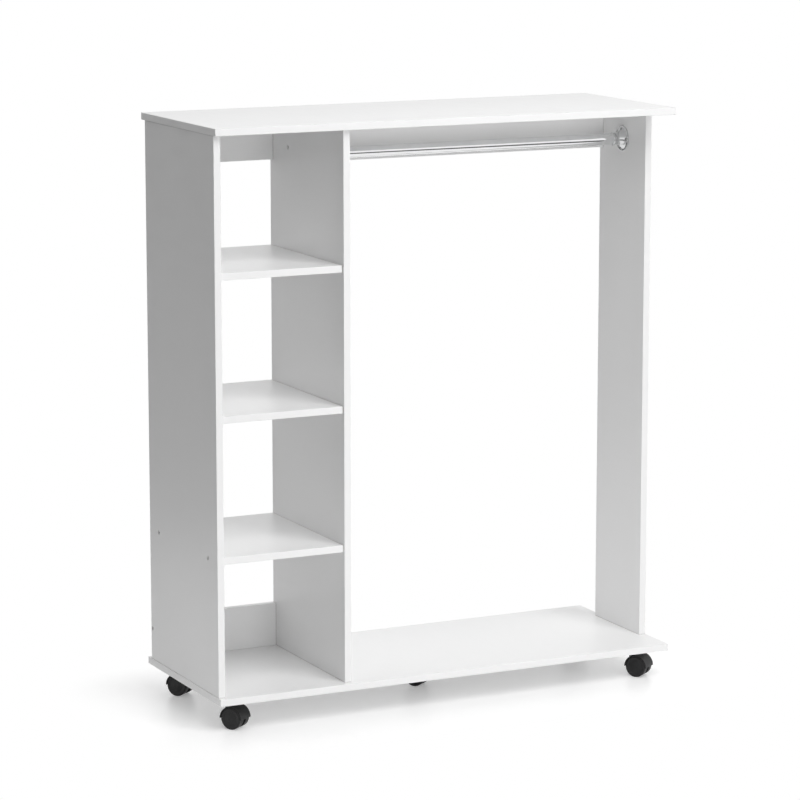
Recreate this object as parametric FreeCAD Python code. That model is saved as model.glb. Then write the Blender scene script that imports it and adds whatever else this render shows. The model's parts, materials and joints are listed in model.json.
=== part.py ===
import FreeCAD, Part
import math
import os

# Open wardrobe on castors: a shelf bay with four compartments on the left and a hanging bay on the right.
# The origin lies on the floor under the middle of the base board, +X runs to the right as seen from
# the open front, the front faces -Y and +Z points up. All lengths are in millimetres.

os.makedirs("parts", exist_ok=True)
Vector = FreeCAD.Vector
ALONG_X = Vector(1, 0, 0)
ALONG_Y = Vector(0, 1, 0)
ALONG_Z = Vector(0, 0, 1)
origin = Vector(0, 0, 0)
full_turn = 360.0

# Boards
board_t = 15.0
overall_width = 1068.0
overall_depth = 400.0
end_lip = 1.5
shelf_bay_width = 273.0
compartment_height = 280.0
compartment_count = 4
panel_front_inset = 14.0
panel_back_inset = 16.0
right_panel_depth = 200.0
shelf_front_recess = 5.0
shelf_back_recess = 2.0
loose_shelf_side_gap = 0.5
rail_height = 95.0
edge_round = 0.8

# Hanging rod and its two trumpet shaped flanges
rod_d = 25.0
rod_wall = 1.2
rod_drop = 68.0
rod_end_gap = 0.5
rod_fit_clearance = 0.1
flange_d = 56.0
flange_rim_t = 1.8
flange_rim_land = 1.2
flange_length = 26.0
flange_collar_wall = 1.5
flange_collar_straight = 2.0
flange_mid_radius_share = 0.24
flange_mid_height_share = 0.24
flange_screw_circle_d = 44.0
flange_screw_count = 4
flange_screw_hole_d = 3.9
flange_screw_recess_d = 6.8

# Round head screws of the flanges and of the castor plates
round_screw_head_d = 6.0
round_screw_head_h = 2.0
round_screw_shank_d = 3.5
round_screw_length = 12.5
round_screw_cross_length = 3.6
round_screw_cross_width = 0.8
round_screw_cross_depth = 1.0
round_screw_hole_clearance = 0.05

# Board screws with a countersunk head and a hexagon socket
board_screw_head_d = 9.6
board_screw_head_h = 1.0
board_screw_cone_h = 2.0
board_screw_neck_d = 7.0
board_screw_neck_h = 11.0
board_screw_thread_d = 6.2
board_screw_length = 48.0
board_screw_recess = 1.6
board_screw_socket_across = 4.0
board_screw_socket_depth = 2.4
board_screw_tip_h = 3.0
board_screw_clearance = 0.1
board_screw_edge = 50.0
lower_rail_fastener_edge = 27.0
upper_rail_fastener_edge = 33.0

# Wooden dowels
dowel_d = 8.0
dowel_length = 30.0
dowel_in_face = 10.0
dowel_chamfer = 0.8
dowel_radial_clearance = 0.05
dowel_end_clearance = 0.5
dowel_from_screw = 32.0

# Cam fittings that pull the top board down
cam_d = 14.8
cam_depth = 12.4
cam_setback = 34.0
cam_clearance = 0.1
cam_pocket_d = 7.8
cam_slot_length = 8.0
cam_slot_width = 1.8
cam_slot_depth = 2.0
cam_bolt_thread_d = 5.0
cam_bolt_thread_h = 9.0
cam_bolt_shoulder_d = 7.6
cam_bolt_shoulder_h = 12.0
cam_bolt_neck_d = 4.0
cam_bolt_head_d = 7.0
cam_bolt_head_h = 4.0
cam_bolt_hole_d = 8.0
cam_pocket_end_clearance = 0.6

# Pins under the two loose shelves
shelf_pin_d = 5.0
shelf_pin_depth = 9.0
shelf_pin_reach = 9.0
shelf_pin_width = 7.0
shelf_pin_clearance = 0.05

# Castors
castor_height = 60.0
castor_inset_left = 41.0
castor_inset_right = 59.0
castor_inset_front = 52.0
castor_inset_back = 52.0
castor_middle_x = 3.0
castor_middle_y = -3.0
castor_rest_angle = 36.0
castor_trail = 14.0
wheel_d = 46.0
wheel_width = 14.0
wheel_side_gap = 0.5
wheel_tread_t = 3.6
wheel_outer_round = 1.8
wheel_inner_round = 0.8
wheel_face_t = 2.4
wheel_dish_d = 35.0
wheel_dish_depth = 0.7
wheel_dish_slope = 0.9
wheel_hub_d = 13.0
axle_d = 6.0
axle_running_clearance = 0.05
axle_press_clearance = 0.01
axle_end_gap = 0.3
axle_face_cover = 1.4
hood_web_t = 10.0
hood_wall = 2.2
hood_tread_gap = 1.0
hood_side_overhang = 0.4
hood_edge_round = 1.0
hood_web_disc_d = 40.0
hood_boss_d = 17.0
hood_boss_gap = 0.4
swivel_pin_d = 6.0
swivel_pin_head_d = 9.0
swivel_pin_grip = 22.0
swivel_pin_clearance = 0.05
swivel_pin_end_gap = 0.3
plate_size = 42.0
plate_t = 2.5
plate_corner_r = 4.0
plate_hole_pitch = 32.0
plate_hole_d = 4.0

# Every cutting shape runs this far past the face that it opens
cut_overrun = 2.0

# Levels of the boards
base_under_z = castor_height
base_top_z = base_under_z + board_t
inner_height = compartment_count * compartment_height + (compartment_count - 1) * board_t
top_under_z = base_top_z + inner_height
top_z = top_under_z + board_t
fixed_shelf_z = base_top_z + compartment_height
middle_shelf_z = fixed_shelf_z + board_t + compartment_height
upper_shelf_z = middle_shelf_z + board_t + compartment_height

# Places across the width
half_width = overall_width / 2
left_outer_x = -half_width + end_lip
left_inner_x = left_outer_x + board_t
divider_left_x = left_inner_x + shelf_bay_width
divider_right_x = divider_left_x + board_t
right_outer_x = half_width - end_lip
right_inner_x = right_outer_x - board_t

# Places across the depth
front_y = -overall_depth / 2
back_y = overall_depth / 2
panel_front_y = front_y + panel_front_inset
panel_back_y = back_y - panel_back_inset
panel_middle_y = (panel_front_y + panel_back_y) / 2
right_front_y = panel_middle_y - right_panel_depth / 2
right_back_y = panel_middle_y + right_panel_depth / 2
shelf_front_y = panel_front_y + shelf_front_recess
shelf_back_y = panel_back_y - shelf_back_recess
rail_front_y = panel_back_y - board_t
hanging_rail_front_y = right_back_y - board_t


def save(node, solids):
    """Write one node, made of one solid or of several alike."""
    if len(solids) == 1:
        shape = solids[0]
    else:
        shape = Part.makeCompound(solids)
    shape.exportStep("parts/" + node + ".step")


def block(x0, x1, y0, y1, z0, z1):
    return Part.makeBox(x1 - x0, y1 - y0, z1 - z0, Vector(x0, y0, z0))


def runs_along(edge, direction):
    ends = [vertex.Point for vertex in edge.Vertexes]
    run = ends[1].sub(ends[0])
    return abs(abs(run.dot(direction)) - run.Length) < edge_round


def board(x0, x1, y0, y1, z0, z1, rounded_along):
    """A board whose edges along the given directions are eased by the edge band's radius."""
    shape = block(x0, x1, y0, y1, z0, z1)
    eased = [edge for edge in shape.Edges if any(runs_along(edge, way) for way in rounded_along)]
    return shape.makeFillet(edge_round, eased)


def turned(points):
    """A solid turned about the Z axis from an outline of (radius, height) points."""
    corners = [Vector(radius, 0, height) for radius, height in points]
    outline = Part.makePolygon(corners + [corners[0]])
    return Part.Face(outline).revolve(origin, ALONG_Z, full_turn)


def placed(shape, point, direction):
    """A copy of a shape made along +Z, set at a point with its +Z along the direction."""
    copy = shape.copy()
    copy.Placement = FreeCAD.Placement(point, FreeCAD.Rotation(ALONG_Z, direction))
    return copy


def with_holes(shape, cutters):
    """The shape less the cutters whose boxes meet its own."""
    near = [cutter for cutter in cutters if cutter.BoundBox.intersect(shape.BoundBox)]
    if near:
        shape = shape.cut(Part.makeCompound(near)) if len(near) == 1 else shape.cut(near)
    return shape.Solids[0]


# Board screw: its head's face at z = 0 and its tip along +Z
def board_screw():
    head_r = board_screw_head_d / 2
    neck_r = board_screw_neck_d / 2
    thread_r = board_screw_thread_d / 2
    cone_end = board_screw_head_h + board_screw_cone_h
    neck_end = cone_end + board_screw_neck_h
    tip_start = board_screw_length - board_screw_tip_h
    screw = turned([
        (0, 0),
        (head_r, 0),
        (head_r, board_screw_head_h),
        (neck_r, cone_end),
        (neck_r, neck_end),
        (thread_r, neck_end),
        (thread_r, tip_start),
        (thread_r / 2, board_screw_length),
        (0, board_screw_length),
    ])
    corner_r = board_screw_socket_across / 2 / math.cos(math.pi / 6)
    corners = []
    for index in range(6):
        angle = math.pi / 3 * index
        corners.append(Vector(corner_r * math.cos(angle), corner_r * math.sin(angle), 0))
    hexagon = Part.Face(Part.makePolygon(corners + [corners[0]]))
    return screw.cut(hexagon.extrude(ALONG_Z * board_screw_socket_depth))


def board_screw_hole():
    """The stepped hole of a board screw, open at the board's face."""
    head_r = board_screw_head_d / 2 + board_screw_clearance
    neck_r = board_screw_neck_d / 2 + board_screw_clearance
    thread_r = board_screw_thread_d / 2 + board_screw_clearance
    cone_start = board_screw_head_h + board_screw_clearance
    cone_end = cone_start + board_screw_cone_h
    neck_end = cone_end + board_screw_neck_h
    hole_end = board_screw_length + board_screw_clearance
    return turned([
        (0, -board_screw_recess - cut_overrun),
        (head_r, -board_screw_recess - cut_overrun),
        (head_r, cone_start),
        (neck_r, cone_end),
        (neck_r, neck_end),
        (thread_r, neck_end),
        (thread_r, hole_end),
        (0, hole_end),
    ])


# Round head screw: its head's seat at z = 0 and its shank along +Z
def round_screw():
    head = Part.makeCylinder(round_screw_head_d / 2, round_screw_head_h, ALONG_Z * -round_screw_head_h)
    rim = [edge for edge in head.Edges if edge.BoundBox.ZMax < -round_screw_head_h / 2]
    head = head.makeFillet(round_screw_head_h / 2, rim)
    shank_r = round_screw_shank_d / 2
    shank = turned([
        (0, 0),
        (shank_r, 0),
        (shank_r, round_screw_length - shank_r),
        (0, round_screw_length),
    ])
    half_length = round_screw_cross_length / 2
    half_cross = round_screw_cross_width / 2
    recess_top = -round_screw_head_h - cut_overrun
    recess_end = -round_screw_head_h + round_screw_cross_depth
    cross = [
        block(-half_length, half_length, -half_cross, half_cross, recess_top, recess_end),
        block(-half_cross, half_cross, -half_length, half_length, recess_top, recess_end),
    ]
    return head.fuse(shank).removeSplitter().cut(cross)


def round_screw_hole():
    radius = round_screw_shank_d / 2 + round_screw_hole_clearance
    return Part.makeCylinder(radius, round_screw_length + round_screw_hole_clearance)


# Dowel: the joint face at z = 0, the short part below it and the long part above
def dowel():
    radius = dowel_d / 2
    low = -dowel_in_face
    high = low + dowel_length
    return turned([
        (0, low),
        (radius - dowel_chamfer, low),
        (radius, low + dowel_chamfer),
        (radius, high - dowel_chamfer),
        (radius - dowel_chamfer, high),
        (0, high),
    ])


def dowel_hole():
    radius = dowel_d / 2 + dowel_radial_clearance
    low = -dowel_in_face - dowel_end_clearance
    length = dowel_length + dowel_end_clearance * 2
    return Part.makeCylinder(radius, length, ALONG_Z * low)


# Cam bolt: the joint face at z = 0, its thread up into the top board, its head down in the cam
def cam_bolt():
    thread_r = cam_bolt_thread_d / 2
    shoulder_r = cam_bolt_shoulder_d / 2
    neck_r = cam_bolt_neck_d / 2
    head_r = cam_bolt_head_d / 2
    head_end = -cam_setback - cam_bolt_head_h / 2
    head_start = head_end + cam_bolt_head_h
    return turned([
        (0, head_end),
        (head_r, head_end),
        (head_r, head_start),
        (neck_r, head_start),
        (neck_r, -cam_bolt_shoulder_h),
        (shoulder_r, -cam_bolt_shoulder_h),
        (shoulder_r, 0),
        (thread_r, 0),
        (thread_r, cam_bolt_thread_h),
        (0, cam_bolt_thread_h),
    ])


def cam_bolt_hole():
    thread_r = cam_bolt_thread_d / 2 + cam_clearance
    hole_r = cam_bolt_hole_d / 2
    return turned([
        (0, -cam_setback),
        (hole_r, -cam_setback),
        (hole_r, 0),
        (thread_r, 0),
        (thread_r, cam_bolt_thread_h + cam_clearance),
        (0, cam_bolt_thread_h + cam_clearance),
    ])


def cam_pocket(x, y):
    """The channel in a cam that takes the bolt's head, from above."""
    bottom = top_under_z - cam_setback - cam_bolt_head_h / 2 - cam_pocket_end_clearance
    height = cam_bolt_head_h + cam_pocket_end_clearance + cam_d
    return Part.makeCylinder(cam_pocket_d / 2, height, Vector(x, y, bottom))


def cam(face_x, inward, y):
    """A cam set into a panel's face, with its cross slot on the outside."""
    z = top_under_z - cam_setback
    face = Vector(face_x, y, z)
    body = placed(Part.makeCylinder(cam_d / 2, cam_depth), face, ALONG_X * inward)
    half_length = cam_slot_length / 2
    half_slot = cam_slot_width / 2
    slots = Part.makeCompound([
        block(-half_length, half_length, -half_slot, half_slot, -cut_overrun, cam_slot_depth),
        block(-half_slot, half_slot, -half_length, half_length, -cut_overrun, cam_slot_depth),
    ])
    body = body.cut(placed(slots, face, ALONG_X * inward))
    return body.cut(cam_pocket(face_x + inward * board_t / 2, y)).Solids[0]


def cam_hole(face_x, inward, y):
    start = Vector(face_x - inward * cut_overrun, y, top_under_z - cam_setback)
    length = cam_depth + cam_clearance + cut_overrun
    return placed(Part.makeCylinder(cam_d / 2 + cam_clearance, length), start, ALONG_X * inward)


# Shelf pin: a stem in the panel and a flat tongue under the shelf
def shelf_pin(face_x, outward, y, shelf_z):
    z = shelf_z - shelf_pin_d / 2
    stem_end = Vector(face_x - outward * shelf_pin_depth, y, z)
    stem = placed(Part.makeCylinder(shelf_pin_d / 2, shelf_pin_depth), stem_end, ALONG_X * outward)
    tip_x = face_x + outward * shelf_pin_reach
    half_pin = shelf_pin_width / 2
    tongue = block(
        min(face_x, tip_x), max(face_x, tip_x), y - half_pin, y + half_pin, shelf_z - shelf_pin_d, shelf_z
    )
    return stem.fuse(tongue).Solids[0]


def shelf_pin_hole(face_x, outward, y, shelf_z):
    depth = shelf_pin_depth + shelf_pin_clearance
    end = Vector(face_x - outward * depth, y, shelf_z - shelf_pin_d / 2)
    hole = Part.makeCylinder(shelf_pin_d / 2 + shelf_pin_clearance, depth + cut_overrun)
    return placed(hole, end, ALONG_X * outward)


# Rod flange: its back at z = 0 on the panel and its collar along +Z
def rod_flange():
    rim_r = flange_d / 2
    bore_r = rod_d / 2 + rod_fit_clearance
    collar_r = bore_r + flange_collar_wall
    flare_start = Vector(rim_r - flange_rim_land, 0, flange_rim_t)
    flare_end = Vector(collar_r, 0, flange_length - flange_collar_straight)
    flare_run = flare_start.x - flare_end.x
    flare_rise = flare_end.z - flare_start.z
    flare_middle = Vector(
        collar_r + flare_run * flange_mid_radius_share, 0, flange_rim_t + flare_rise * flange_mid_height_share
    )
    outline = [
        Part.makeLine(Vector(bore_r, 0, 0), Vector(rim_r, 0, 0)),
        Part.makeLine(Vector(rim_r, 0, 0), Vector(rim_r, 0, flange_rim_t)),
        Part.makeLine(Vector(rim_r, 0, flange_rim_t), flare_start),
        Part.Arc(flare_start, flare_middle, flare_end).toShape(),
        Part.makeLine(flare_end, Vector(collar_r, 0, flange_length)),
        Part.makeLine(Vector(collar_r, 0, flange_length), Vector(bore_r, 0, flange_length)),
        Part.makeLine(Vector(bore_r, 0, flange_length), Vector(bore_r, 0, 0)),
    ]
    flange = Part.Face(Part.Wire(outline)).revolve(origin, ALONG_Z, full_turn)
    for point in flange_screw_points():
        hole = Part.makeCylinder(flange_screw_hole_d / 2, flange_length, point - ALONG_Z * cut_overrun)
        recess_start = point + ALONG_Z * flange_rim_t
        recess = Part.makeCylinder(flange_screw_recess_d / 2, flange_length, recess_start)
        flange = flange.cut([hole, recess])
    return flange.Solids[0]


def flange_screw_points():
    points = []
    for index in range(flange_screw_count):
        angle = 2 * math.pi * index / flange_screw_count
        radius = flange_screw_circle_d / 2
        points.append(Vector(radius * math.cos(angle), radius * math.sin(angle), 0))
    return points


# Boards
base = board(
    -half_width, half_width, front_y, back_y, base_under_z, base_top_z, [ALONG_X, ALONG_Y, ALONG_Z]
)
top = board(-half_width, half_width, front_y, back_y, top_under_z, top_z, [ALONG_X, ALONG_Y, ALONG_Z])
left_side = board(
    left_outer_x, left_inner_x, panel_front_y, panel_back_y, base_top_z, top_under_z, [ALONG_Z]
)
divider = board(
    divider_left_x, divider_right_x, panel_front_y, panel_back_y, base_top_z, top_under_z, [ALONG_Z]
)
right_side = board(
    right_inner_x, right_outer_x, right_front_y, right_back_y, base_top_z, top_under_z, [ALONG_Z]
)
fixed_shelf = board(
    left_inner_x, divider_left_x, shelf_front_y, shelf_back_y,
    fixed_shelf_z, fixed_shelf_z + board_t, [ALONG_X],
)


def loose_shelf(z):
    return board(
        left_inner_x + loose_shelf_side_gap, divider_left_x - loose_shelf_side_gap,
        shelf_front_y, shelf_back_y, z, z + board_t, [ALONG_X],
    )


lower_rail = board(
    left_inner_x, divider_left_x, rail_front_y, panel_back_y,
    base_top_z, base_top_z + rail_height, [ALONG_X],
)
upper_rail = board(
    left_inner_x, divider_left_x, rail_front_y, panel_back_y,
    top_under_z - rail_height, top_under_z, [ALONG_X],
)
hanging_rail = board(
    divider_right_x, right_inner_x, hanging_rail_front_y, right_back_y,
    top_under_z - rail_height, top_under_z, [ALONG_X],
)

# Panels that stand between the base and the top: middle of the thickness, front edge, back edge
left_x = (left_outer_x + left_inner_x) / 2
divider_x = (divider_left_x + divider_right_x) / 2
right_x = (right_inner_x + right_outer_x) / 2
standing = [
    (left_x, panel_front_y, panel_back_y),
    (divider_x, panel_front_y, panel_back_y),
    (right_x, right_front_y, right_back_y),
]

# Board screws: a point on the outer face and the way in
rail_y = (rail_front_y + panel_back_y) / 2
hanging_rail_y = (hanging_rail_front_y + right_back_y) / 2
shelf_screw_z = fixed_shelf_z + board_t / 2
lower_rail_screw_z = base_top_z + rail_height - lower_rail_fastener_edge
hanging_rail_screw_z = top_under_z - rail_height + upper_rail_fastener_edge
screw_places = []
for x, y0, y1 in standing:
    for y in (y0 + board_screw_edge, y1 - board_screw_edge):
        screw_places.append((Vector(x, y, base_under_z), ALONG_Z))
for y in (panel_front_y + board_screw_edge, panel_back_y - board_screw_edge):
    screw_places.append((Vector(left_outer_x, y, shelf_screw_z), ALONG_X))
    screw_places.append((Vector(divider_right_x, y, shelf_screw_z), ALONG_X * -1))
screw_places.append((Vector(left_outer_x, rail_y, lower_rail_screw_z), ALONG_X))
screw_places.append((Vector(divider_right_x, rail_y, lower_rail_screw_z), ALONG_X * -1))
screw_places.append((Vector(divider_left_x, hanging_rail_y, hanging_rail_screw_z), ALONG_X))
screw_places.append((Vector(right_outer_x, hanging_rail_y, hanging_rail_screw_z), ALONG_X * -1))
one_board_screw = board_screw()
one_board_screw_hole = board_screw_hole()
board_screws = []
cutters = []
for face, way in screw_places:
    seat = face + way * board_screw_recess
    board_screws.append(placed(one_board_screw, seat, way))
    cutters.append(placed(one_board_screw_hole, seat, way))

# Dowels: a point on the joint face and the way into the board whose end is drilled
dowel_places = []
for x, y0, y1 in standing:
    inset = board_screw_edge + dowel_from_screw
    for y in (y0 + inset, y1 - inset):
        dowel_places.append((Vector(x, y, base_top_z), ALONG_Z))
        dowel_places.append((Vector(x, y, top_under_z), ALONG_Z * -1))
lower_rail_dowel_z = base_top_z + lower_rail_fastener_edge
upper_dowel_z = top_under_z - upper_rail_fastener_edge
upper_rail_low_dowel_z = top_under_z - rail_height + upper_rail_fastener_edge
for x, way in ((left_inner_x, ALONG_X), (divider_left_x, ALONG_X * -1)):
    dowel_places.append((Vector(x, panel_middle_y, shelf_screw_z), way))
    dowel_places.append((Vector(x, rail_y, lower_rail_dowel_z), way))
    dowel_places.append((Vector(x, rail_y, upper_dowel_z), way))
    dowel_places.append((Vector(x, rail_y, upper_rail_low_dowel_z), way))
for x, way in ((divider_right_x, ALONG_X), (right_inner_x, ALONG_X * -1)):
    dowel_places.append((Vector(x, hanging_rail_y, upper_dowel_z), way))
one_dowel = dowel()
one_dowel_hole = dowel_hole()
dowels = []
for joint, way in dowel_places:
    dowels.append(placed(one_dowel, joint, way))
    cutters.append(placed(one_dowel_hole, joint, way))

# Cams in the faces of the three standing panels that are turned to the right
cams = []
cam_bolts = []
one_cam_bolt = cam_bolt()
one_cam_bolt_hole = cam_bolt_hole()
for x, y0, y1 in standing:
    for y in (y0 + board_screw_edge, y1 - board_screw_edge):
        face_x = x + board_t / 2
        joint = Vector(x, y, top_under_z)
        cams.append(cam(face_x, -1, y))
        cutters.append(cam_hole(face_x, -1, y))
        cam_bolts.append(placed(one_cam_bolt, joint, ALONG_Z))
        cutters.append(placed(one_cam_bolt_hole, joint, ALONG_Z))

# Pins of the two loose shelves
shelf_pins = []
for shelf_z in (middle_shelf_z, upper_shelf_z):
    for y in (panel_front_y + board_screw_edge, panel_back_y - board_screw_edge):
        for face_x, outward in ((left_inner_x, 1), (divider_left_x, -1)):
            shelf_pins.append(shelf_pin(face_x, outward, y, shelf_z))
            cutters.append(shelf_pin_hole(face_x, outward, y, shelf_z))

# Rod, flanges and flange screws
rod_z = top_under_z - rod_drop
rod_start = Vector(divider_right_x + rod_end_gap, panel_middle_y, rod_z)
rod_length = right_inner_x - divider_right_x - rod_end_gap * 2
rod_outside = placed(Part.makeCylinder(rod_d / 2, rod_length), rod_start, ALONG_X)
rod_inside = placed(Part.makeCylinder(rod_d / 2 - rod_wall, rod_length), rod_start, ALONG_X)
rod = rod_outside.cut(rod_inside)
one_flange = rod_flange()
one_round_screw = round_screw()
one_round_hole = round_screw_hole()
flanges = []
flange_screws = []
for x, way in ((divider_right_x, ALONG_X), (right_inner_x, ALONG_X * -1)):
    seat = Vector(x, panel_middle_y, rod_z)
    flanges.append(placed(one_flange, seat, way))
    for point in flange_screw_points():
        turn = FreeCAD.Rotation(ALONG_Z, way)
        head_seat = seat + turn.multVec(point + ALONG_Z * flange_rim_t)
        flange_screws.append(placed(one_round_screw, head_seat, way * -1))
        cutters.append(placed(one_round_hole, head_seat, way * -1))

# Castors: name and place of each swivel axis
castor_left_x = -half_width + castor_inset_left
castor_right_x = half_width - castor_inset_right
castor_front_y = front_y + castor_inset_front
castor_back_y = back_y - castor_inset_back
castors = [
    ("castor_front_left", castor_left_x, castor_front_y),
    ("castor_front_right", castor_right_x, castor_front_y),
    ("castor_back_left", castor_left_x, castor_back_y),
    ("castor_back_right", castor_right_x, castor_back_y),
    ("castor_middle", castor_middle_x, castor_middle_y),
]
wheel_r = wheel_d / 2
wheel_inner_s = hood_web_t / 2 + wheel_side_gap
hood_half_width = wheel_inner_s + wheel_width + hood_side_overhang
hood_inner_r = wheel_r + hood_tread_gap
hood_outer_r = hood_inner_r + hood_wall
plate_under_z = castor_height - plate_t
boss_top_z = plate_under_z - hood_boss_gap
axle_centre = Vector(0, -castor_trail, wheel_r)


def across(radius, s0, s1):
    """A cylinder about the axle from one place along it to another."""
    return placed(Part.makeCylinder(radius, s1 - s0), axle_centre + ALONG_X * s0, ALONG_X)


def castor_plate():
    half_plate = plate_size / 2
    plate = block(-half_plate, half_plate, -half_plate, half_plate, plate_under_z, castor_height)
    plate = plate.makeFillet(plate_corner_r, [edge for edge in plate.Edges if runs_along(edge, ALONG_Z)])
    holes = [Part.makeCylinder(swivel_pin_head_d / 2, castor_height)]
    for point in plate_screw_points():
        holes.append(Part.makeCylinder(plate_hole_d / 2, castor_height, Vector(point.x, point.y, 0)))
    return plate.cut(holes).Solids[0]


def plate_screw_points():
    half_pitch = plate_hole_pitch / 2
    signs = (-1, 1)
    return [Vector(sx * half_pitch, sy * half_pitch, plate_under_z) for sx in signs for sy in signs]


def swivel_pin():
    """The rivet that the hood turns on, flush with the plate's upper face."""
    bottom = boss_top_z - swivel_pin_grip
    pin = Part.makeCylinder(swivel_pin_d / 2, castor_height - bottom, ALONG_Z * bottom)
    head = Part.makeCylinder(swivel_pin_head_d / 2, plate_t, ALONG_Z * plate_under_z)
    return pin.fuse(head).removeSplitter().Solids[0]


def castor_hood():
    """The hood over both wheels with the neck and the round web that carries the axle between them."""
    drum = across(hood_outer_r, -hood_half_width, hood_half_width)
    rims = [edge for edge in drum.Edges if edge.BoundBox.XLength < hood_edge_round]
    drum = drum.makeFillet(hood_edge_round, rims)
    below = block(
        -hood_half_width - cut_overrun, hood_half_width + cut_overrun,
        -castor_trail - hood_outer_r - cut_overrun, -castor_trail + hood_outer_r + cut_overrun,
        -cut_overrun, wheel_r,
    )
    neck = Part.makeCylinder(hood_boss_d / 2, boss_top_z - wheel_r, ALONG_Z * wheel_r)
    disc = across(hood_web_disc_d / 2, -hood_web_t / 2, hood_web_t / 2)
    hood = drum.cut(below).fuse([neck, disc])
    wells = [
        across(hood_inner_r, -hood_half_width - cut_overrun, -hood_web_t / 2),
        across(hood_inner_r, hood_web_t / 2, hood_half_width + cut_overrun),
    ]
    pin_bottom = boss_top_z - swivel_pin_grip - swivel_pin_end_gap
    pin_bore = Part.makeCylinder(
        swivel_pin_d / 2 + swivel_pin_clearance, swivel_pin_grip + castor_height, ALONG_Z * pin_bottom
    )
    axle_bore = across(axle_d / 2 + axle_press_clearance, -hood_half_width, hood_half_width)
    return hood.cut(wells + [pin_bore, axle_bore]).removeSplitter().Solids[0]


def castor_axle():
    end = wheel_inner_s + wheel_width - wheel_dish_depth - axle_face_cover - axle_end_gap
    return across(axle_d / 2, -end, end)


def castor_wheel():
    """A wheel about the Z axis: its inner side at z = 0 and its closed outer face at z = width."""
    bore_r = axle_d / 2 + axle_running_clearance
    hub_r = wheel_hub_d / 2
    tread_inner_r = wheel_r - wheel_tread_t
    disc_z = wheel_width - wheel_dish_depth - wheel_face_t
    dish_z = wheel_width - wheel_dish_depth
    dish_r = wheel_dish_d / 2
    bore_end = dish_z - axle_face_cover
    diagonal = math.sqrt(2) / 2
    inner_bend = wheel_inner_round * (1 - diagonal)
    outer_bend = wheel_outer_round * (1 - diagonal)

    def at(radius, z):
        return Vector(radius, 0, z)

    corners = [
        at(wheel_r, wheel_inner_round),
        at(wheel_r, wheel_width - wheel_outer_round),
        at(wheel_r - wheel_outer_round, wheel_width),
        at(dish_r + wheel_dish_slope, wheel_width),
        at(dish_r, dish_z),
        at(0, dish_z),
        at(0, bore_end),
        at(bore_r, bore_end),
        at(bore_r, 0),
        at(hub_r, 0),
        at(hub_r, disc_z),
        at(tread_inner_r, disc_z),
        at(tread_inner_r, 0),
        at(wheel_r - wheel_inner_round, 0),
    ]
    outer_arc_middle = at(wheel_r - outer_bend, wheel_width - outer_bend)
    inner_arc_middle = at(wheel_r - inner_bend, inner_bend)
    outline = [Part.makeLine(corners[0], corners[1])]
    outline.append(Part.Arc(corners[1], outer_arc_middle, corners[2]).toShape())
    for start, end in zip(corners[2:], corners[3:]):
        outline.append(Part.makeLine(start, end))
    outline.append(Part.Arc(corners[-1], inner_arc_middle, corners[0]).toShape())
    return Part.Face(Part.Wire(outline)).revolve(origin, ALONG_Z, full_turn)


def at_castor(shape, x, y):
    """Turn a castor piece to its rest angle and set it under the base."""
    copy = shape.copy()
    copy.rotate(origin, ALONG_Z, castor_rest_angle)
    copy.translate(Vector(x, y, 0))
    return copy


one_plate = castor_plate()
one_pin = swivel_pin()
one_hood = castor_hood()
one_axle = castor_axle()
one_wheel = castor_wheel()
left_wheel = placed(one_wheel, axle_centre - ALONG_X * wheel_inner_s, ALONG_X * -1)
right_wheel = placed(one_wheel, axle_centre + ALONG_X * wheel_inner_s, ALONG_X)
plate_screws = []
for name, x, y in castors:
    place = Vector(x, y, 0)
    plate = one_plate.copy()
    plate.translate(place)
    save(name + "_plate", [plate])
    save(name + "_swivel_pin", [at_castor(one_pin, x, y)])
    save(name + "_hood", [at_castor(one_hood, x, y)])
    save(name + "_axle", [at_castor(one_axle, x, y)])
    save(name + "_left_wheel", [at_castor(left_wheel, x, y)])
    save(name + "_right_wheel", [at_castor(right_wheel, x, y)])
    for point in plate_screw_points():
        plate_screws.append(placed(one_round_screw, place + point, ALONG_Z))
        cutters.append(placed(one_round_hole, place + point, ALONG_Z))

# Every board gets the holes that reach it
save("base_board", [with_holes(base, cutters)])
save("top_board", [with_holes(top, cutters)])
save("left_side_panel", [with_holes(left_side, cutters)])
save("divider_panel", [with_holes(divider, cutters)])
save("right_side_panel", [with_holes(right_side, cutters)])
save("fixed_shelf", [with_holes(fixed_shelf, cutters)])
save("middle_shelf", [loose_shelf(middle_shelf_z)])
save("upper_shelf", [loose_shelf(upper_shelf_z)])
save("lower_back_rail", [with_holes(lower_rail, cutters)])
save("upper_back_rail", [with_holes(upper_rail, cutters)])
save("hanging_bay_rail", [with_holes(hanging_rail, cutters)])
save("hanging_rod", [rod])
save("rod_flange_divider_side", [flanges[0]])
save("rod_flange_right_side", [flanges[1]])
save("flange_screws", flange_screws)
save("board_screws", board_screws)
save("wooden_dowels", dowels)
save("cam_housings", cams)
save("cam_bolts", cam_bolts)
save("shelf_pins", shelf_pins)
save("castor_plate_screws", plate_screws)
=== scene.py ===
import json
import math

import bmesh
import bpy
from mathutils import Matrix, Vector


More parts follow.
